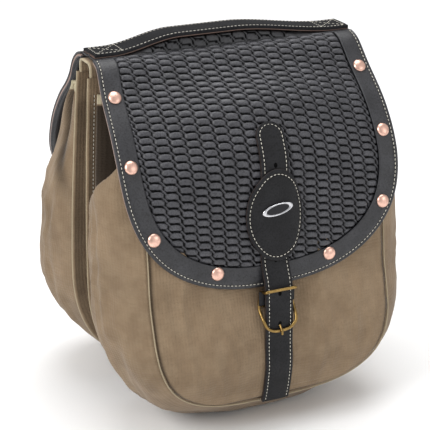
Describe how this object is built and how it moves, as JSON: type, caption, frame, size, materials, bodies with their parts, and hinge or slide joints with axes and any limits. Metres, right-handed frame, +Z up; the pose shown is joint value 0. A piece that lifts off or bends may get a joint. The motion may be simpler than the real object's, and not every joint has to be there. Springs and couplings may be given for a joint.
{
  "type": "saddle bag",
  "caption": "Double canvas saddle bag that hangs over a rack: back-to-back pouches with embossed leather flaps, straps, horseshoe buckles, copper rivets and a carry handle.",
  "frame": {"origin": "middle of the underside of the canvas bridge, where the bag sits on a rack", "axes": "+X along the width, the front pouch towards -Y and the rear pouch towards +Y, +Z up"},
  "size_m": [0.3314, 0.315, 0.3913],
  "materials": {
    "canvas": "waxed cotton canvas, khaki brown, mottled",
    "smooth_leather": "black fine-grained leather, satin, cream stitching",
    "embossed_leather": "black leather embossed with a basket weave, satin",
    "leather_lining": "thin matt lining leather",
    "stiffener_board": "fibre board covered in cloth",
    "copper": "polished copper rivet caps",
    "buckle_brass": "antique brass, brushed",
    "badge_metal": "polished plain plate"
  },
  "bodies": {
    "bridge": {"canvas_bridge": "canvas", "ridge_leather": "smooth_leather", "handle": "smooth_leather"},
    "pouch_front_body": {"back_panel_front": "canvas", "back_board_front": "stiffener_board", "gusset_front": "canvas", "face_panel_front": "canvas", "welt_front": "canvas"},
    "flap_front_body": {"flap_lining_front": "leather_lining", "flap_panel_front": "embossed_leather", "flap_border_front": "smooth_leather", "rivet_front_left_1": "copper", "rivet_front_left_2": "copper", "rivet_front_left_3": "copper", "rivet_front_left_4": "copper", "rivet_front_right_1": "copper", "rivet_front_right_2": "copper", "rivet_front_right_3": "copper", "rivet_front_right_4": "copper", "keeper_patch_front": "smooth_leather", "badge_front": "badge_metal", "chape_front": "smooth_leather"},
    "buckle_front_body": {"buckle_frame_front": "buckle_brass", "buckle_bar_front": "buckle_brass"},
    "prong_front_body": {"buckle_prong_front": "buckle_brass"},
    "strap_front_body": {"strap_front": "smooth_leather"},
    "pouch_rear_body": {"back_panel_rear": "canvas", "back_board_rear": "stiffener_board", "gusset_rear": "canvas", "face_panel_rear": "canvas", "welt_rear": "canvas"},
    "flap_rear_body": {"flap_lining_rear": "leather_lining", "flap_panel_rear": "embossed_leather", "flap_border_rear": "smooth_leather", "rivet_rear_left_1": "copper", "rivet_rear_left_2": "copper", "rivet_rear_left_3": "copper", "rivet_rear_left_4": "copper", "rivet_rear_right_1": "copper", "rivet_rear_right_2": "copper", "rivet_rear_right_3": "copper", "rivet_rear_right_4": "copper", "keeper_patch_rear": "smooth_leather", "badge_rear": "badge_metal", "chape_rear": "smooth_leather"},
    "buckle_rear_body": {"buckle_frame_rear": "buckle_brass", "buckle_bar_rear": "buckle_brass"},
    "prong_rear_body": {"buckle_prong_rear": "buckle_brass"},
    "strap_rear_body": {"strap_rear": "smooth_leather"}
  },
  "joints": [
    {"name": "pouch_front_hinge", "type": "hinge", "parent": "bridge", "child": "pouch_front_body", "pos_m": [0, -0.018, 0.006], "axis": [-1, 0, 0], "range_deg": [0, 25]},
    {"name": "flap_front_hinge", "type": "hinge", "parent": "pouch_front_body", "child": "flap_front_body", "pos_m": [0, -0.018, 0.006], "axis": [-1, 0, 0], "range_deg": [0, 95]},
    {"name": "buckle_front_tilt", "type": "hinge", "parent": "flap_front_body", "child": "buckle_front_body", "pos_m": [0, -0.1334, -0.232], "axis": [-1, 0, 0], "range_deg": [0, 20]},
    {"name": "prong_front_pivot", "type": "hinge", "parent": "buckle_front_body", "child": "prong_front_body", "pos_m": [0, -0.1334, -0.232], "axis": [-1, 0, 0], "range_deg": [0, 95]},
    {"name": "strap_front_hinge", "type": "hinge", "parent": "pouch_front_body", "child": "strap_front_body", "pos_m": [0, -0.1325, -0.3375], "axis": [1, 0, 0], "range_deg": [0, 150], "deforming": ["strap_front"]},
    {"name": "pouch_rear_hinge", "type": "hinge", "parent": "bridge", "child": "pouch_rear_body", "pos_m": [0, 0.018, 0.006], "axis": [1, 0, 0], "range_deg": [0, 25]},
    {"name": "flap_rear_hinge", "type": "hinge", "parent": "pouch_rear_body", "child": "flap_rear_body", "pos_m": [0, 0.018, 0.006], "axis": [1, 0, 0], "range_deg": [0, 95]},
    {"name": "buckle_rear_tilt", "type": "hinge", "parent": "flap_rear_body", "child": "buckle_rear_body", "pos_m": [0, 0.14972, -0.22337], "axis": [1, 0, 0], "range_deg": [0, 20]},
    {"name": "prong_rear_pivot", "type": "hinge", "parent": "buckle_rear_body", "child": "prong_rear_body", "pos_m": [0, 0.14972, -0.22337], "axis": [1, 0, 0], "range_deg": [0, 95]},
    {"name": "strap_rear_hinge", "type": "hinge", "parent": "pouch_rear_body", "child": "strap_rear_body", "pos_m": [0, 0.15618, -0.32868], "axis": [-1, 0, 0], "range_deg": [0, 150], "deforming": ["strap_rear"]}
  ]
}
